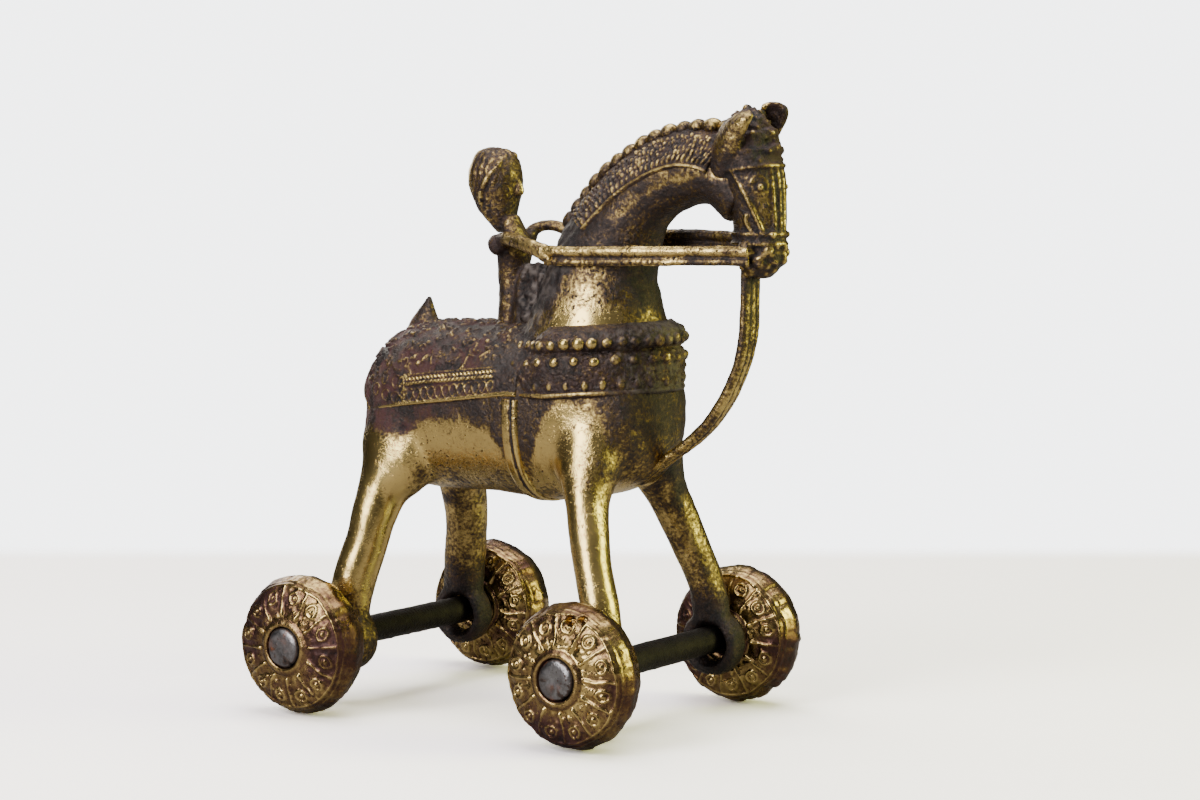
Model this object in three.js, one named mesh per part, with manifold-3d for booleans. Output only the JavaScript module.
// A horse with its rider, cast in brass in one piece, standing on four wheels.
// Millimetres, x ahead, y to the horse's left, z up, the origin under the middle of the whole.

import * as THREE from 'three';
import { mergeVertices } from 'three/addons/utils/BufferGeometryUtils.js';
import Module from 'manifold-3d';

const wasm = await Module();
wasm.setup();

// Wheels
const wheelDiameter = 46;
const rimThickness = 2;
const hubThickness = 20; // face to face
const hubDiameter = 18;
const hubStep = 1.4; // the hub's collar stands this far above the petals
const hubBevel = 1.2; // the slope round the hub's collar
const bandWidth = 2.6; // steep plain band inside the rim
const bandHeight = 5.4; // of the face, from the wheel's middle plane, where the band begins
const petalCount = 12;
const petalRelief = 0.5;

// Axles
const wheelBase = 103.8; // from axle to axle
const frontTrack = 93.6; // between the rims of a pair
const rearTrack = 101.2;
const axleDiameter = 9;
const headDiameter = 12.8; // hammered end
const headThickness = 3;
const headProud = 0.5; // beyond the face of the hub
const fitGap = 0.3; // all round an axle in its wheel

// Eyes at the feet, loose on the axles
const eyePlay = 3; // bore less axle
const eyeRest = 0.3; // kept between the top of a bore and its axle
const eyeWall = 4.5;
const eyeThickness = 8.6;
const eyeFlare = 1.5; // the bore widens by this at both mouths
const eyeSides = 12; // facets
const frontSidePlay = 1.5; // between an eye and the hub beside it
const rearSidePlay = 5.3;
const frontShift = 0.8; // the casting sits to its left between the wheels
const rearShift = 3;

// Casting
const castingHeight = 171.5; // from the axles to the tips of the ears
const legThickness = 12.2; // above a front foot
const hindLegThickness = 14.2;
const clothRise = 1; // the saddle cloth above the back
const collarRise = 1.6;
const girthRise = 1.1;
const maneRise = 0.9;
const ropeHeight = 3.4; // the two ropes above the border of the cloth
const reinHeight = 6;
const reinThickness = 3.4;
const leadWidth = 9;
const leadThickness = 3.4;
const maneDepth = 11.3; // from the beads down to the border
const crestBeads = 14;
const crestBeadDiameter = 5.4;
const collarRows = [
  { height: 96.6, count: 22, diameter: 3.6 },
  { height: 91, count: 13, diameter: 4 },
  { height: 84, count: 13, diameter: 3.8 },
];

// The figure is drawn 171.5 units high, so a unit is that share of the casting's height.
const unit = castingHeight / 171.5;
const wheelRadius = wheelDiameter / 2;
const hubRadius = hubDiameter / 2;
const axleRadius = axleDiameter / 2;
const headRadius = headDiameter / 2;
const boreRadius = axleRadius + eyePlay / 2;
const eyeRadius = boreRadius + eyeWall;
const eyeDrop = eyePlay / 2 - eyeRest; // the eye's middle hangs this far below its axle

const brassColour = 0xb08a45;
const wheelColour = 0x8d6a3c;
const ironColour = 0x3a3431;

// Casting skewed a little over its axles: its sideways shift changes evenly from axle to axle.
const skew = (frontShift - rearShift) / wheelBase;
const askew = new THREE.Matrix4().set(
  1, 0, 0, 0,
  skew, 1, 0, (frontShift + rearShift) / 2,
  0, 0, 1, 0,
  0, 0, 0, 1,
);

const at = (x, y, z) => new THREE.Vector3(x * unit, y * unit, z * unit);

// Points and triangles become a geometry whose faces look outwards.
function geometryOf(points, faces) {
  let volume = 0;
  for (let i = 0; i < faces.length; i += 3) {
    const [a, b, c] = [points[faces[i]], points[faces[i + 1]], points[faces[i + 2]]];
    volume += a.dot(new THREE.Vector3().crossVectors(b, c));
  }
  if (volume < 0) faces.reverse();
  const geometry = new THREE.BufferGeometry().setFromPoints(points);
  geometry.setIndex(faces);
  return geometry;
}

function bandFaces(faces, first, second, sides) {
  for (let s = 0; s < sides; s += 1) {
    const next = (s + 1) % sides;
    faces.push(first + s, first + next, second + s);
    faces.push(first + next, second + next, second + s);
  }
}

// Rings of points, one behind the other, closed at both ends by a fan.
function skin(rings) {
  const sides = rings[0].length;
  const points = rings.flat();
  const faces = [];
  for (let r = 0; r + 1 < rings.length; r += 1) bandFaces(faces, r * sides, (r + 1) * sides, sides);
  for (const end of [0, rings.length - 1]) {
    const middle = new THREE.Vector3();
    rings[end].forEach((point) => middle.addScaledVector(point, 1 / sides));
    const tip = points.push(middle) - 1;
    for (let s = 0; s < sides; s += 1) {
      const a = end * sides + s;
      const b = end * sides + (s + 1) % sides;
      if (end === 0) faces.push(b, a, tip);
      else faces.push(a, b, tip);
    }
  }
  return geometryOf(points, faces);
}

// Rings that come back to the first one, as round a wheel's bore.
function ringSkin(rings) {
  const sides = rings[0].length;
  const faces = [];
  for (let r = 0; r < rings.length; r += 1) {
    bandFaces(faces, r * sides, ((r + 1) % rings.length) * sides, sides);
  }
  return geometryOf(rings.flat(), faces);
}

function solidOf(geometry) {
  const plain = geometry.clone();
  plain.deleteAttribute('normal');
  plain.deleteAttribute('uv');
  const merged = mergeVertices(plain);
  return new wasm.Manifold(new wasm.Mesh({
    numProp: 3,
    vertProperties: new Float32Array(merged.attributes.position.array),
    triVerts: new Uint32Array(merged.index.array),
  }));
}

function geometryFrom(solid) {
  const mesh = solid.getMesh();
  const geometry = new THREE.BufferGeometry();
  geometry.setAttribute('position', new THREE.BufferAttribute(mesh.vertProperties, 3));
  geometry.setIndex(new THREE.BufferAttribute(mesh.triVerts, 1));
  geometry.computeVertexNormals();
  return geometry;
}

const castSolid = (geometry) => solidOf(geometry.clone().applyMatrix4(askew));

// A smooth line through [x, value] pairs.
function through(pairs) {
  const slopes = pairs.map((pair, i) => {
    const before = pairs[Math.max(i - 1, 0)];
    const after = pairs[Math.min(i + 1, pairs.length - 1)];
    return (after[1] - before[1]) / (after[0] - before[0]);
  });
  return (x) => {
    let i = 0;
    while (i < pairs.length - 2 && x > pairs[i + 1][0]) i += 1;
    const width = pairs[i + 1][0] - pairs[i][0];
    const t = THREE.MathUtils.clamp((x - pairs[i][0]) / width, 0, 1);
    const rise = pairs[i + 1][1] - pairs[i][1];
    const bend = t * (1 - t) * width;
    const ease = t * t * (3 - 2 * t);
    return pairs[i][1] + rise * ease + bend * (slopes[i] * (1 - t) - slopes[i + 1] * t);
  };
}

const circle = (angle) => [Math.cos(angle), Math.sin(angle)];

// A limb through stations of [x, y, z, half depth, half width], with its rings square to its path.
// The section gives the share of the depth and of the width at each angle.
function limb(stations, { sides = 12, steps = 10, section = circle } = {}) {
  const path = new THREE.CatmullRomCurve3(stations.map(([x, y, z]) => at(x, y, z)), false, 'catmullrom');
  const size = new THREE.CatmullRomCurve3(stations.map(([, , , depth, width]) => at(depth, width, 0)));
  size.curveType = 'catmullrom';
  const rings = [];
  for (let i = 0; i <= steps; i += 1) {
    const along = path.getTangent(i / steps);
    const aside = new THREE.Vector3(0, 1, 0).addScaledVector(along, -along.y).normalize();
    const deep = new THREE.Vector3().crossVectors(along, aside);
    const middle = path.getPoint(i / steps);
    const half = size.getPoint(i / steps);
    rings.push(Array.from({ length: sides }, (_, s) => {
      const [depthShare, widthShare] = section(2 * Math.PI * s / sides, i / steps, half);
      return middle.clone()
        .addScaledVector(deep, half.x * depthShare)
        .addScaledVector(aside, half.y * widthShare);
    }));
  }
  return skin(rings);
}

function ball(centre, radius, sides, rows) {
  return new THREE.SphereGeometry(radius, sides, rows).translate(centre.x, centre.y, centre.z);
}

// A pointed bead half sunk in the upright face that it stands on
function stud(centre, outward, radius) {
  const upward = new THREE.Vector3(0, 0, 1);
  const aside = new THREE.Vector3().crossVectors(upward, outward);
  const turn = new THREE.Matrix4().makeBasis(aside, upward, outward);
  return new THREE.OctahedronGeometry(radius).scale(1.15, 1.15, 0.9).applyMatrix4(turn)
    .translate(centre.x, centre.y, centre.z);
}

// Trunk: its outline from the side and from above, drawn as lines along x
const trunkRear = -60;
const trunkFront = 53.6;
const trunkMiddle = (trunkRear + trunkFront) / 2;
const trunkLine = through([[-60, 73], [-44, 74], [-10, 74.7], [30, 74.5], [53.6, 76]]);
const trunkDepth = through([[-60, 25], [-44, 27.6], [-10, 27.3], [10, 28], [34, 27], [53.6, 26]]);
const trunkWidth = through([[-60, 22], [-40, 24], [-10, 24.4], [12, 25], [34, 25.4], [53.6, 24]]);
const trunkBluntness = 4; // 2 would be a plain oval
const clothRear = -40;
const clothFront = 7;
const clothEdge = through([[-40, 74.8], [-12, 77.5], [9, 79.6]]);
const girthStart = 7.6;
const girthEnd = 13.6;
const girthGroove = 11.5;

function trunk() {
  const sides = 16;
  const step = 0.02; // shares the edge of the cloth between two close angles
  const halfLength = (trunkFront - trunkRear) / 2;
  const places = [];
  const bare = (...turns) => turns.forEach((turn) => {
    places.push([trunkMiddle + halfLength * Math.sin(THREE.MathUtils.degToRad(turn)), 0, 0]);
  });
  bare(-89, -79, -66, -54);
  places.push([clothRear - 0.3, 0, 0], [clothRear + 0.3, clothRise, 0]);
  places.push([-26, clothRise, 0], [-9, clothRise, 0], [clothFront, clothRise, 0]);
  places.push([girthStart, clothRise, girthRise], [girthGroove - 0.5, clothRise, girthRise]);
  places.push([girthGroove, clothRise, 0], [girthGroove + 0.5, clothRise, girthRise]);
  places.push([girthEnd, clothRise, girthRise], [girthEnd + 0.5, 0, 0]);
  bare(32, 46, 61, 76, 89);
  const rings = places.map(([x, above, below]) => {
    const share = Math.abs(x - trunkMiddle) / halfLength;
    const round = (1 - share ** trunkBluntness) ** (1 / trunkBluntness);
    const depth = trunkDepth(x) * round;
    const width = trunkWidth(x) * round;
    const edge = Math.asin(THREE.MathUtils.clamp((clothEdge(x) - trunkLine(x)) / depth, -1, 1));
    return Array.from({ length: sides }, (_, s) => {
      let angle = 2 * Math.PI * s / sides;
      let rise = angle < Math.PI && s > 0 && 2 * s < sides ? above : below;
      if (above > 0) {
        if (s === 0) [angle, rise] = [edge - step, below];
        if (s === 1) [angle, rise] = [edge + step, above];
        if (s === sides / 2) [angle, rise] = [Math.PI - edge + step, below];
        if (s === sides / 2 - 1) [angle, rise] = [Math.PI - edge - step, above];
      }
      const across = Math.sign(Math.cos(angle)) * Math.abs(Math.cos(angle)) ** 0.86;
      const upright = Math.sign(Math.sin(angle)) * Math.abs(Math.sin(angle)) ** 0.86;
      const proud = rise / unit;
      return at(x, across * (width + proud), trunkLine(x) + upright * (depth + proud));
    });
  });
  return skin(rings);
}

// Neck: round at the chest, deep and narrow at the crest
function neckSection(angle, along) {
  const deep = Math.cos(angle);
  const crest = THREE.MathUtils.smoothstep(along, 0.3, 0.65);
  return [deep, Math.sin(angle) * (1 - crest * 0.42 * Math.max(deep, 0))];
}

function neck() {
  return limb([
    [27, 0, 64, 24, 20],
    [27.2, 0, 82, 25.6, 23.6],
    [27.5, 0, 93, 25.6, 23],
    [27.8, 0, 102, 23.6, 21],
    [28.4, 0, 112, 20.6, 18],
    [29.6, 0, 120, 18.6, 15.8],
    [32.8, 0, 127.5, 17.3, 13.8],
    [36.8, 0, 134.6, 15.3, 12.2],
    [42, 0, 141.6, 13.4, 10.9],
    [49.3, 0, 147.3, 12.3, 10.1],
    [57.7, 0, 151.1, 12, 9.7],
    [66, 0, 152.7, 11.5, 9.4],
    [75.3, 0, 150.8, 10.9, 9],
    [84, 0, 142.4, 9.4, 8.2],
  ], { sides: 12, steps: 13, section: neckSection });
}

// Crest of the mane: the line that its beads stand on
const crestLine = new THREE.CatmullRomCurve3([
  at(16.8, 0, 135.7), at(20.8, 0, 140.2), at(27.4, 0, 148), at(36.7, 0, 155.1),
  at(46.3, 0, 160.3), at(56.8, 0, 163.7), at(68, 0, 165), at(76, 0, 164.6),
]);

// Mane: a slab astride the crest, proud of the neck down to its border
function mane() {
  const half = maneDepth / unit / 2;
  const rise = maneRise / unit;
  const section = (angle) => {
    const [c, d] = circle(angle + Math.PI / 6);
    return [Math.sign(c) * (Math.abs(c) > 0.6 ? 1 : 0.1), d * (c > 0.6 ? 1 : 2)];
  };
  const stations = [];
  for (let i = 0; i <= 7; i += 1) {
    const point = crestLine.getPoint(i / 7).divideScalar(unit);
    const along = crestLine.getTangent(i / 7);
    const inward = new THREE.Vector3(along.z, 0, -along.x);
    point.addScaledVector(inward, half);
    stations.push([point.x, 0, point.z, half, 4.6 + rise]);
  }
  return limb(stations, { sides: 6, steps: 10, section });
}

function crestBeadSolids() {
  return crestLine.getSpacedPoints(crestBeads - 1).map((point) => (
    castSolid(ball(point, crestBeadDiameter / 2, 5, 3))
  ));
}

// Head, with the bands of the bridle
function head() {
  return limb([
    [83.5, 0, 168, 3, 3],
    [84.5, 0, 164, 7.6, 7],
    [84.9, 0, 156, 8.8, 8.8],
    [86.4, 0, 147.5, 9.1, 9],
    [87.4, 0, 140, 8.5, 7.8],
    [87.8, 0, 133, 8.2, 6.6],
    [88, 0, 127, 8.2, 6.2],
    [87.6, 0, 122.4, 6.8, 5.2],
    [86.6, 0, 119.6, 3, 3],
  ], { sides: 12, steps: 9 });
}

function bridleBand(x, z, height, depth, width) {
  return limb([
    [x, 0, z - height / 2, depth, width],
    [x, 0, z, depth + 0.6, width + 0.8],
    [x, 0, z + height / 2, depth, width],
  ], { sides: 10, steps: 2 });
}

// Ears: cupped leaves, hollow on the side of the head
function ear(side) {
  const leaf = [
    [77.6, 6.6, 151, 3.2],
    [79, 7.6, 156, 4.4],
    [82, 8.8, 161.5, 5.8],
    [85.6, 9.6, 166.2, 6.2],
    [87.6, 9.8, 169 + side, 5],
    [88.4, 9.8, 170.5 + side, 3],
  ];
  const half = 1.3; // of the cup's curl, in radians
  const wall = 1.8;
  const count = 4;
  const rings = leaf.map(([x, y, z, reach]) => {
    const ring = [];
    for (let i = 0; i < 2 * count; i += 1) {
      const outer = i < count;
      const turn = -half + 2 * half * (outer ? i : 2 * count - 1 - i) / (count - 1);
      const radius = reach - (outer ? 0 : wall);
      const bulge = (outer ? 0.7 : 0.45) * reach * Math.cos(turn) - (outer ? 0 : 0.35 * wall);
      const aside = y - 2 + bulge + 0.3 * radius * Math.sin(turn);
      ring.push(at(x + radius * Math.sin(turn), side * aside, z));
    }
    return ring;
  });
  return skin(rings);
}

// Legs: from inside the trunk down to the eye on the axle
function leg(end, side) {
  const front = end > 0;
  const half = (front ? legThickness : hindLegThickness) / 2 / unit;
  const footX = end * wheelBase / 2 / unit;
  const footY = eyePlace(end) / unit;
  const foot = -eyeDrop / unit;
  const knee = front ? [45.4, 28.2, 29] : [-46.8, 26.7, 31];
  const hip = front
    ? [[34, 13, 72, 13, 11], [36.4, 18, 59, 10.6, 9.4], [38.8, 22, 49, 7, 7.4]]
    : [[-38, 13, 72, 18, 11], [-41, 17.4, 57, 14.4, 10.2], [-44.4, 21.4, 47, 8.6, 8.6]];
  const thigh = front ? [42, 25.4, 39, half + 0.4, half + 0.4] : [-45.6, 24.6, 39, half + 0.4, half + 0.6];
  const stations = [
    ...hip,
    thigh,
    [...knee, half, half],
    [(knee[0] + footX * 2) / 3, (knee[1] + footY * 2) / 3 + 0.4, 17, half, half],
    [footX, footY, foot + 5, half + 0.6, eyeThickness / 2 / unit],
    [footX, footY, foot - 2, half, eyeThickness / 2 / unit - 0.4],
  ];
  const placed = stations.map(([x, y, z, deep, wide]) => [x, side * y, z, deep, wide]);
  return limb(placed, { sides: 8, steps: 10 });
}

function eyePlace(end) {
  const track = end > 0 ? frontTrack : rearTrack;
  const play = end > 0 ? frontSidePlay : rearSidePlay;
  return track / 2 - hubThickness / 2 - play - eyeThickness / 2;
}

function eyeDisc(end, side) {
  const half = eyeThickness / 2;
  const round = 1.6;
  const profile = [[0, -half], [eyeRadius - round, -half], [eyeRadius, -half + round],
    [eyeRadius, half - round], [eyeRadius - round, half], [0, half]];
  return new THREE.LatheGeometry(profile.map(([x, y]) => new THREE.Vector2(x, y)), eyeSides)
    .translate(end * wheelBase / 2, side * eyePlace(end), -eyeDrop);
}

function eyeBore(end, side) {
  const half = eyeThickness / 2;
  const shift = end > 0 ? frontShift : rearShift;
  const beyond = 2; // the cutter runs out past both faces
  const mouth = boreRadius + eyeFlare;
  const outer = half - 0.4; // the flare runs between these two, to each side of the middle
  const inner = half - 2.4;
  const profile = [[0, -half - beyond], [mouth, -half - beyond], [mouth, -outer], [boreRadius, -inner],
    [boreRadius, inner], [mouth, outer], [mouth, half + beyond], [0, half + beyond]];
  return new THREE.LatheGeometry(profile.map(([x, y]) => new THREE.Vector2(x, y)), eyeSides)
    .translate(end * wheelBase / 2, side * eyePlace(end) + shift, -eyeDrop);
}

// Collar: a deep band round the chest, cut off behind the shoulders, with three rows of beads
const collarX = 26.6;
const collarDepth = 28; // half of its length along x
const collarWidth = 25.2; // half of its width
const collarTilt = 0.065; // rises towards the chest
const collarBack = 11;

function collarRing(z, grow) {
  const sides = 20;
  return Array.from({ length: sides }, (_, s) => {
    const [c, d] = circle(2 * Math.PI * (s + 0.5) / sides);
    const x = collarX + c * (collarDepth + grow);
    return at(x, d * (collarWidth + grow), z + collarTilt * (x - collarBack));
  });
}

function collar() {
  const proud = collarRise / unit - 1.2;
  const body = skin([
    collarRing(79.8, -4), collarRing(80, proud + 0.5), collarRing(81.6, proud + 0.4),
    collarRing(82, proud), collarRing(94.4, proud), collarRing(98.8, proud + 0.3),
    collarRing(100, proud - 2.4), collarRing(100.2, -7),
  ]);
  const block = new THREE.BoxGeometry(60 * unit, 80 * unit, 60 * unit);
  block.translate((collarBack - 30) * unit, 0, 90 * unit);
  return castSolid(body).subtract(castSolid(block));
}

function collarBeadSolids() {
  const solids = [];
  const reach = 2.12; // radians to each side of the chest
  const proud = collarRise / unit - 1.2;
  for (const { height, count, diameter } of collarRows) {
    for (let i = 0; i < count; i += 1) {
      const [c, d] = circle(-reach + 2 * reach * i / (count - 1));
      const x = collarX + c * (collarDepth + proud);
      const centre = at(x, d * (collarWidth + proud), height + collarTilt * (x - collarBack));
      const outward = new THREE.Vector3(c * collarWidth, d * collarDepth, 0).normalize();
      solids.push(castSolid(stud(centre, outward, diameter / 2)));
    }
  }
  return solids;
}

// Rider: torso, head and two arms
function riderSolids() {
  const torso = limb([
    [-6.4, 0, 96, 7.5, 7.5], [-6.2, 0, 103, 5.6, 5.4], [-6.2, 0, 114, 5.1, 5], [-6, 0, 122, 5.2, 6],
    [-5.6, 0, 127.5, 5, 8.6], [-6, 0, 131.6, 3.6, 5], [-7.6, 0, 136, 3, 3.4],
  ], { sides: 8, steps: 7 });
  const skull = limb([
    [-9.6, 0, 132, 2.8, 2.6], [-10.8, 0, 136, 5.2, 4.8], [-12.4, 0, 141.6, 8, 7],
    [-13.4, 0, 147.6, 9.4, 8], [-14, 0, 152.6, 8.8, 7.8], [-14.8, 0, 156.8, 5.8, 5.6],
    [-15, 0, 158.4, 2.2, 2.2],
  ], { sides: 10, steps: 7 });
  const nearArm = limb([
    [-5.8, -6.6, 128.4, 3.2, 3], [-1, -10, 129.6, 2.5, 2.4], [6, -13, 128.8, 2.3, 2.1],
    [12, -15.2, 127.4, 2.4, 2.1], [18, -16.2, 126, 2.8, 2.3],
  ], { sides: 6, steps: 6 });
  const farArm = limb([
    [-5.6, 7, 129, 3, 3], [-4.4, 9.4, 132.2, 2.1, 2.1], [-0.6, 11.4, 133.5, 1.8, 1.8],
    [4, 12.4, 132.8, 1.8, 1.8], [9, 13.2, 130.4, 2, 2], [14, 13.8, 128.8, 2.3, 2.2],
    [19, 14.4, 127.6, 2.6, 2.2],
  ], { sides: 6, steps: 7 });
  const web = limb([
    [2, 0, 96, 10, 8], [2.4, 0, 106, 9, 6.6], [3.6, 0, 114, 8.4, 5.4], [5.4, 0, 118.6, 6.6, 4.4],
    [6.4, 0, 121, 2.6, 2.6],
  ], { sides: 8, steps: 4 });
  return [torso, skull, nearArm, farArm, web].map(castSolid);
}

// A calm, general face: brow, nose, lips and chin, turned ahead
function riderFaceSolids() {
  const face = -4.6; // x of the plane between the cheeks
  const nose = limb([
    [face - 0.6, 0, 149.6, 0.8, 0.7], [face + 0.6, 0, 146.6, 1.2, 1], [face + 0.9, 0, 144.6, 1.3, 1.5],
    [face - 0.6, 0, 143.8, 0.6, 0.8],
  ], { sides: 5, steps: 3 });
  const brow = limb([
    [face - 2.2, -4.6, 149.6, 0.8, 0.8], [face - 0.4, -2, 150.5, 0.9, 0.8],
    [face - 0.4, 2, 150.5, 0.9, 0.8], [face - 2.2, 4.6, 149.6, 0.8, 0.8],
  ], { sides: 4, steps: 3 });
  const lips = limb([
    [face - 2, -1.8, 141.6, 0.5, 0.5], [face - 0.9, 0, 141.6, 0.8, 0.8], [face - 2, 1.8, 141.6, 0.5, 0.5],
  ], { sides: 4, steps: 2 });
  const chin = ball(at(face - 2.6, 0, 138.8), 1.6 * unit, 6, 4);
  return [nose, brow, lips, chin].map(castSolid);
}

// Reins: a doubled cord from each hand to the muzzle
function rein(stations) {
  const section = (angle) => {
    const [c, d] = circle(angle);
    return [c, d * (0.72 + 0.28 * Math.abs(c))];
  };
  const half = [reinHeight / 2 / unit, reinThickness / 2 / unit];
  return limb(stations.map(([x, y, z]) => [x, y, z, ...half]), { sides: 6, steps: 4, section });
}

// Lead strap: three ribs, from under the muzzle down to the breast
function leadStrap() {
  const centre = [[85, 123, 1], [84.6, 113, 1], [84, 100, 0.96], [80.6, 89, 0.9], [73, 76.4, 0.82],
    [63, 67.2, 0.74], [53, 60.6, 0.68], [42.5, 53.6, 0.62]];
  const ribs = (angle) => {
    const [c, d] = circle(angle);
    return [c * (0.82 + 0.18 * Math.cos(3 * Math.PI * d)), d];
  };
  const stations = centre.map(([x, z, taper]) => (
    [x, 0, z, leadThickness / 2 / unit, leadWidth / 2 / unit * taper]
  ));
  return limb(stations, { sides: 10, steps: 9, section: ribs });
}

function tail() {
  return limb([
    [-43.6, 0, 94, 8, 4.6], [-43, 0, 99.5, 7, 3.8], [-42.2, 0, 105, 3.6, 2.2], [-41.4, 0, 110.4, 0.8, 0.7],
  ], { sides: 6, steps: 3 });
}

// Raised lines on the saddle cloth: the cord along its border and the ropes above it
function clothLine(side, above, height) {
  const stations = [clothRear + 1, -24, -8, clothFront].map((x) => {
    const z = clothEdge(x) + above;
    const up = (z - trunkLine(x)) / trunkDepth(x);
    const share = Math.abs(x - trunkMiddle) / ((trunkFront - trunkRear) / 2);
    const width = trunkWidth(x) * (1 - share ** trunkBluntness) ** (1 / trunkBluntness);
    const y = width * Math.max(1 - Math.abs(up) ** 2.33, 0) ** (1 / 2.33) + clothRise / unit;
    return [x, side * (y - 0.5), z, height / 2, 1.4];
  });
  return limb(stations, { sides: 4, steps: 4 });
}

function horseSolid() {
  const pieces = [trunk(), neck(), mane(), head(), leadStrap(), tail()];
  pieces.push(bridleBand(85, 156, 5, 8.9, 8.8), bridleBand(87, 131.6, 3.4, 8, 6.5));
  const nearRein = [
    [16, -16.2, 125], [28, -16.4, 125], [50, -14.2, 125.4], [70, -11.2, 125.8], [89, -7.6, 126],
  ];
  const farRein = [
    [17, 14.6, 128], [28, 16, 129.4], [50, 14, 130], [70, 10.8, 129.8], [87, 6.6, 129],
  ];
  pieces.push(rein(nearRein), rein(farRein));
  for (const side of [-1, 1]) {
    pieces.push(ear(side), clothLine(side, 0.3, 1.6), clothLine(side, 8.6, ropeHeight / unit));
    for (const end of [-1, 1]) pieces.push(leg(end, side), eyeDisc(end, side));
  }
  const solids = pieces.map(castSolid);
  solids.push(...riderSolids(), ...riderFaceSolids(), collar());
  solids.push(...crestBeadSolids(), ...collarBeadSolids());
  let whole = solids[0];
  for (const solid of solids.slice(1)) whole = whole.add(solid);
  for (const side of [-1, 1]) {
    for (const end of [-1, 1]) whole = whole.subtract(solidOf(eyeBore(end, side)));
  }
  return whole;
}

// A wheel about its own middle, with the recess for the axle's head on the side of +y
function wheelGeometry() {
  const sides = petalCount * 2;
  const hub = hubThickness / 2;
  const bore = axleRadius + fitGap;
  const recess = headRadius + fitGap;
  const floor = hub + headProud - headThickness - fitGap;
  const petalFoot = hub - hubStep;
  const rim = rimThickness / 2;
  const band = wheelRadius - bandWidth;
  const belly = (hubRadius + band) / 2; // halfway along the petals, which fall faster further out
  const bellyHeight = petalFoot - (petalFoot - bandHeight) / 4;
  const ring = (radius, y, relief = 0) => Array.from({ length: sides }, (_, s) => {
    const angle = 2 * Math.PI * s / sides;
    const rise = s % 2 === 0 ? relief : -relief;
    return new THREE.Vector3(radius * Math.cos(angle), y + Math.sign(y) * rise, radius * Math.sin(angle));
  });
  return ringSkin([
    ring(bore, floor), ring(recess, floor), ring(recess, hub), ring(hubRadius - hubBevel / 2, hub),
    ring(hubRadius + hubBevel / 2, petalFoot, petalRelief), ring(belly, bellyHeight, petalRelief),
    ring(band, bandHeight, petalRelief), ring(wheelRadius, rim), ring(wheelRadius, -rim),
    ring(band, -bandHeight, petalRelief), ring(hubRadius, -hub), ring(bore, -hub),
  ]);
}

// An axle about its own middle: a plain rod with both ends hammered over
function axleGeometry(track) {
  const end = track / 2 + hubThickness / 2 + headProud;
  const shoulder = end - headThickness;
  const profile = [[0, -end], [headRadius - 1, -end], [headRadius, -end + 0.8], [headRadius, -shoulder],
    [axleRadius, -shoulder], [axleRadius, shoulder], [headRadius, shoulder], [headRadius, end - 0.8],
    [headRadius - 1, end], [0, end]];
  return new THREE.LatheGeometry(profile.map(([x, y]) => new THREE.Vector2(x, y)), 12);
}

// Each geometry comes out with merged points and its faces outwards.
const tidied = (geometry) => geometryFrom(solidOf(geometry));

function named(name, geometry, colour, roughness) {
  const material = new THREE.MeshStandardMaterial({ color: colour, roughness, metalness: 1 });
  const mesh = new THREE.Mesh(geometry, material);
  mesh.name = name;
  return mesh;
}

const figure = new THREE.Group();
const casting = named('horse', geometryFrom(horseSolid()), brassColour, 0.3);
casting.position.z = wheelRadius;
figure.add(casting);

for (const [word, end, track] of [['front', 1, frontTrack], ['rear', -1, rearTrack]]) {
  const set = new THREE.Group();
  set.position.set(end * wheelBase / 2, 0, wheelRadius);
  set.add(named(`${word}_axle`, tidied(axleGeometry(track)), ironColour, 0.55));
  for (const [hand, side] of [['left', 1], ['right', -1]]) {
    const wheel = named(`${word}_${hand}_wheel`, tidied(wheelGeometry()), wheelColour, 0.42);
    wheel.position.y = side * track / 2;
    wheel.rotation.z = side > 0 ? 0 : Math.PI;
    set.add(wheel);
  }
  figure.add(set);
}

// The origin goes to the middle of the underside.
const bounds = new THREE.Box3().setFromObject(figure);
const middle = bounds.getCenter(new THREE.Vector3());
figure.position.set(-middle.x, -middle.y, -bounds.min.z);

export default figure;
